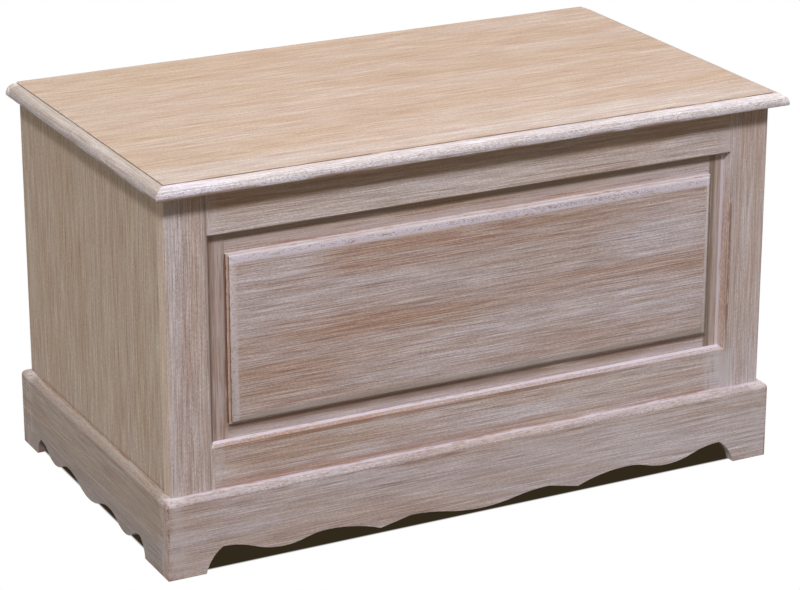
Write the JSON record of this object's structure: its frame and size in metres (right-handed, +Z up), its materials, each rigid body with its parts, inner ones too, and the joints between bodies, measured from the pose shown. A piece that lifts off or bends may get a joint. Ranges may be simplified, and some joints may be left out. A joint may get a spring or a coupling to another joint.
{
  "type": "blanket chest",
  "caption": "Blanket chest of limed wood: a framed front with a raised panel, a scalloped plinth with feet, and a moulded lid on hinges held by slotted stays.",
  "frame": {"origin": "on the floor, under the middle of the overall box", "axes": "+X to the chest's right end as seen from the front, -Y towards the front, +Z up"},
  "size_m": [0.9, 0.524, 0.518],
  "materials": {
    "limed_wood": "limed and waxed open-grain wood",
    "plywood": "bare plywood",
    "softwood": "bare sawn softwood",
    "brass": "plain brass, dulled",
    "steel": "zinc-plated steel"
  },
  "bodies": {
    "case": {"front_left_stile": "limed_wood", "front_right_stile": "limed_wood", "front_top_rail": "limed_wood", "front_bottom_rail": "limed_wood", "front_raised_panel": "limed_wood", "left_side": "limed_wood", "right_side": "limed_wood", "plinth_front": "limed_wood", "plinth_back": "limed_wood", "plinth_left": "limed_wood", "plinth_right": "limed_wood", "back_panel": "plywood", "bottom_panel": "plywood", "bottom_bearer_front": "softwood", "bottom_bearer_back": "softwood", "bottom_bearer_left": "softwood", "bottom_bearer_right": "softwood", "plinth_block_front_left": "softwood", "plinth_block_front_right": "softwood", "plinth_block_back_left": "softwood", "plinth_block_back_right": "softwood", "hinge_case_leaf_left": "brass", "hinge_case_leaf_right": "brass", "hinge_pin_left": "brass", "hinge_pin_right": "brass", "stay_plate_left": "steel", "stay_plate_right": "steel", "stay_slide_pin_left": "steel", "stay_slide_pin_right": "steel"},
    "lid": {"lid_panel": "limed_wood", "lid_nosing_front": "limed_wood", "lid_nosing_left": "limed_wood", "lid_nosing_right": "limed_wood", "lid_batten_left": "softwood", "lid_batten_right": "softwood", "hinge_lid_leaf_left": "brass", "hinge_lid_leaf_right": "brass", "stay_bracket_left": "steel", "stay_bracket_right": "steel", "stay_rivet_left": "steel", "stay_rivet_right": "steel"},
    "stay_left": {"stay_arm_left": "steel"},
    "stay_right": {"stay_arm_right": "steel"}
  },
  "joints": [
    {"name": "lid_hinge", "type": "hinge", "parent": "case", "child": "lid", "pos_m": [0, 0.257, 0.501], "axis": [-1, 0, 0], "range_deg": [0, 95]},
    {"name": "stay_pivot_left", "type": "hinge", "parent": "lid", "child": "stay_left", "pos_m": [-0.41035, 0.08742, 0.489], "axis": [1, 0, 0], "range_deg": [0, 47.5]},
    {"name": "stay_pivot_right", "type": "hinge", "parent": "lid", "child": "stay_right", "pos_m": [0.41035, 0.08742, 0.489], "axis": [1, 0, 0], "range_deg": [0, 47.5]}
  ],
  "couplings": [
    {"joint": "stay_pivot_left", "follows": "lid_hinge", "ratio": 0.5},
    {"joint": "stay_pivot_right", "follows": "lid_hinge", "ratio": 0.5}
  ]
}
